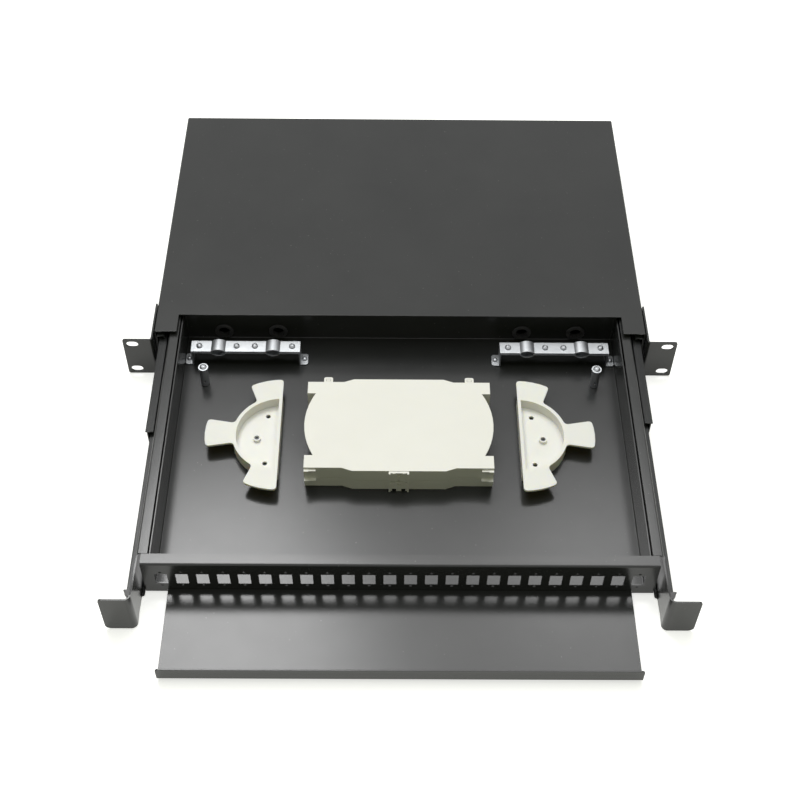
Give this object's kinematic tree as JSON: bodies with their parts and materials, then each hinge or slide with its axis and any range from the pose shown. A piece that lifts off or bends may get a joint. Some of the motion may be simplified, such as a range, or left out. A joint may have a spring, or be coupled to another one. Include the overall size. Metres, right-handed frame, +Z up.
{
  "type": "fiber termination box",
  "caption": "Rack-mount fibre termination box: black steel housing with mounting ears and a sliding drawer that holds an adapter panel, splice trays, spools and cable clamps.",
  "frame": {"origin": "under the middle of the whole object with the drawer pulled out, on the plane of the housing's bottom", "axes": "+X to the right seen from the front, +Y to the back of the housing, +Z up; the drawer pulls out along -Y"},
  "size_m": [0.4826, 0.6058, 0.0437],
  "materials": {
    "powder_coat": "satin black powder coat",
    "slide_steel": "black e-coated steel",
    "zinc_plate": "bright zinc plate",
    "white_abs": "warm white moulded ABS",
    "black_rubber": "matt",
    "catch_plastic": "satin"
  },
  "bodies": {
    "chassis": {"ear_screw_left_1": "slide_steel", "ear_screw_left_2": "slide_steel", "ear_screw_right_1": "slide_steel", "ear_screw_right_2": "slide_steel", "housing_shell": "powder_coat", "rack_ear_left": "powder_coat", "rack_ear_right": "powder_coat", "rear_panel": "powder_coat", "slide_outer_left": "slide_steel", "slide_outer_right": "slide_steel"},
    "drawer": {"adapter_panel": "powder_coat", "cable_grommet_left_1": "black_rubber", "cable_grommet_left_2": "black_rubber", "cable_grommet_right_1": "black_rubber", "cable_grommet_right_2": "black_rubber", "clamp_bar_left": "zinc_plate", "clamp_bar_right": "zinc_plate", "clamp_base_left": "zinc_plate", "clamp_base_right": "zinc_plate", "clamp_screw_left_1": "zinc_plate", "clamp_screw_left_2": "zinc_plate", "clamp_screw_left_3": "zinc_plate", "clamp_screw_left_4": "zinc_plate", "clamp_screw_right_1": "zinc_plate", "clamp_screw_right_2": "zinc_plate", "clamp_screw_right_3": "zinc_plate", "clamp_screw_right_4": "zinc_plate", "drawer_catch_left": "catch_plastic", "drawer_catch_right": "catch_plastic", "drawer_pan": "powder_coat", "fibre_spool_left": "white_abs", "fibre_spool_right": "white_abs", "foot_screw_left_1": "zinc_plate", "foot_screw_left_2": "zinc_plate", "foot_screw_right_1": "zinc_plate", "foot_screw_right_2": "zinc_plate", "post_screw_left": "zinc_plate", "post_screw_right": "zinc_plate", "side_channel_left": "powder_coat", "side_channel_right": "powder_coat", "slide_inner_left": "slide_steel", "slide_inner_right": "slide_steel", "splice_tray_lower": "white_abs", "splice_tray_upper": "white_abs", "spool_screw_left": "zinc_plate", "spool_screw_right": "zinc_plate", "strength_post_left": "zinc_plate", "strength_post_right": "zinc_plate"},
    "splice_lid": {"splice_lid": "white_abs"},
    "ball_cage_inner_left": {"ball_cage_inner_left": "zinc_plate"},
    "ball_cage_inner_right": {"ball_cage_inner_right": "zinc_plate"},
    "ball_cage_outer_left": {"ball_cage_outer_left": "zinc_plate"},
    "ball_cage_outer_right": {"ball_cage_outer_right": "zinc_plate"},
    "slide_middle_left": {"slide_middle_left": "slide_steel"},
    "slide_middle_right": {"slide_middle_right": "slide_steel"}
  },
  "joints": [
    {"name": "drawer_slide", "type": "slide", "parent": "chassis", "child": "drawer", "axis": [0, 1, 0], "range_m": [0, 0.2548]},
    {"name": "splice_lid_lift", "type": "slide", "parent": "drawer", "child": "splice_lid", "axis": [0, 0, 1], "range_m": [0, 0.012]},
    {"name": "slide_middle_left_slide", "type": "slide", "parent": "chassis", "child": "slide_middle_left", "axis": [0, 1, 0], "range_m": [0, 0.1031]},
    {"name": "ball_cage_outer_left_slide", "type": "slide", "parent": "chassis", "child": "ball_cage_outer_left", "axis": [0, 1, 0], "range_m": [0, 0.0516]},
    {"name": "ball_cage_inner_left_slide", "type": "slide", "parent": "chassis", "child": "ball_cage_inner_left", "axis": [0, 1, 0], "range_m": [0, 0.179]},
    {"name": "slide_middle_right_slide", "type": "slide", "parent": "chassis", "child": "slide_middle_right", "axis": [0, 1, 0], "range_m": [0, 0.0911]},
    {"name": "ball_cage_outer_right_slide", "type": "slide", "parent": "chassis", "child": "ball_cage_outer_right", "axis": [0, 1, 0], "range_m": [0, 0.0456]},
    {"name": "ball_cage_inner_right_slide", "type": "slide", "parent": "chassis", "child": "ball_cage_inner_right", "axis": [0, 1, 0], "range_m": [0, 0.173]}
  ],
  "couplings": [
    {"joint": "slide_middle_left_slide", "follows": "drawer_slide", "ratio": 0.40424},
    {"joint": "ball_cage_outer_left_slide", "follows": "drawer_slide", "ratio": 0.20212},
    {"joint": "ball_cage_inner_left_slide", "follows": "drawer_slide", "ratio": 0.70212},
    {"joint": "slide_middle_right_slide", "follows": "drawer_slide", "ratio": 0.35714},
    {"joint": "ball_cage_outer_right_slide", "follows": "drawer_slide", "ratio": 0.17857},
    {"joint": "ball_cage_inner_right_slide", "follows": "drawer_slide", "ratio": 0.67857}
  ]
}
